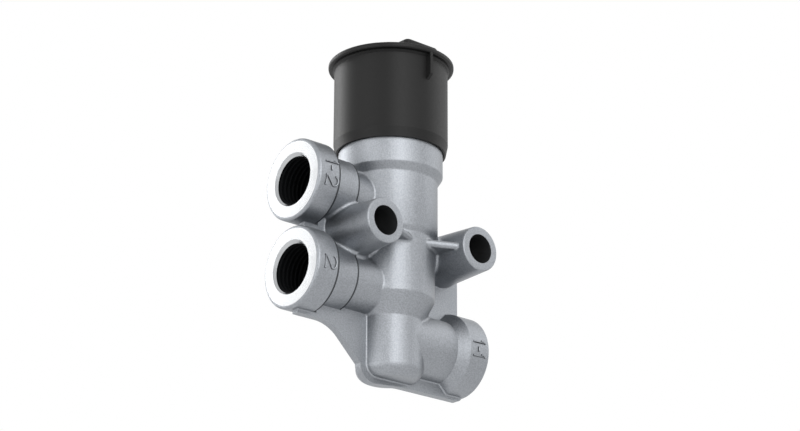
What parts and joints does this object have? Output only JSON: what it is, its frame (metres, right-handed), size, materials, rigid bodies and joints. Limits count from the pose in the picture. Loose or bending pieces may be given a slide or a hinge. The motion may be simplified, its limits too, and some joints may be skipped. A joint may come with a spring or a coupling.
{
  "type": "emergency brake release valve",
  "caption": "Push-knob release valve for a trailer's air brakes: cast body with threaded ports, mounting tubes and a sliding stem.",
  "frame": {"origin": "on the barrel's axis, at the middle of the two mounting holes, in the casting's parting plane", "axes": "+Z along the barrel towards the knob, +X towards port 1-1, +Y along the mounting holes towards the rear"},
  "size_m": [0.067, 0.039, 0.1059],
  "materials": {
    "cast_aluminium": "fine-blasted die casting, machined port faces",
    "black_plastic": "satin moulded",
    "turned_aluminium": "turned",
    "brass": "turned",
    "cage_plastic": "moulded, natural colour",
    "seal_rubber": "smooth",
    "spring_steel": "phosphated"
  },
  "bodies": {
    "body": {"valve_body": "cast_aluminium", "guide_bush": "brass", "lower_cage": "cage_plastic", "upper_cage": "cage_plastic", "lower_seal": "seal_rubber", "middle_seal": "seal_rubber", "upper_seal": "seal_rubber", "bush_seal": "seal_rubber", "wiper_ring": "seal_rubber", "bumper_ring": "seal_rubber", "detent_ring": "spring_steel", "detent_washer": "spring_steel", "retaining_ring": "spring_steel"},
    "plunger": {"knob": "black_plastic", "stem": "turned_aluminium", "stop_clip": "spring_steel", "knob_clip": "spring_steel"}
  },
  "joints": [
    {"name": "knob_push", "type": "slide", "parent": "body", "child": "plunger", "axis": [0, 0, -1], "range_m": [0, 0.006], "deforming": ["detent_ring"]}
  ]
}
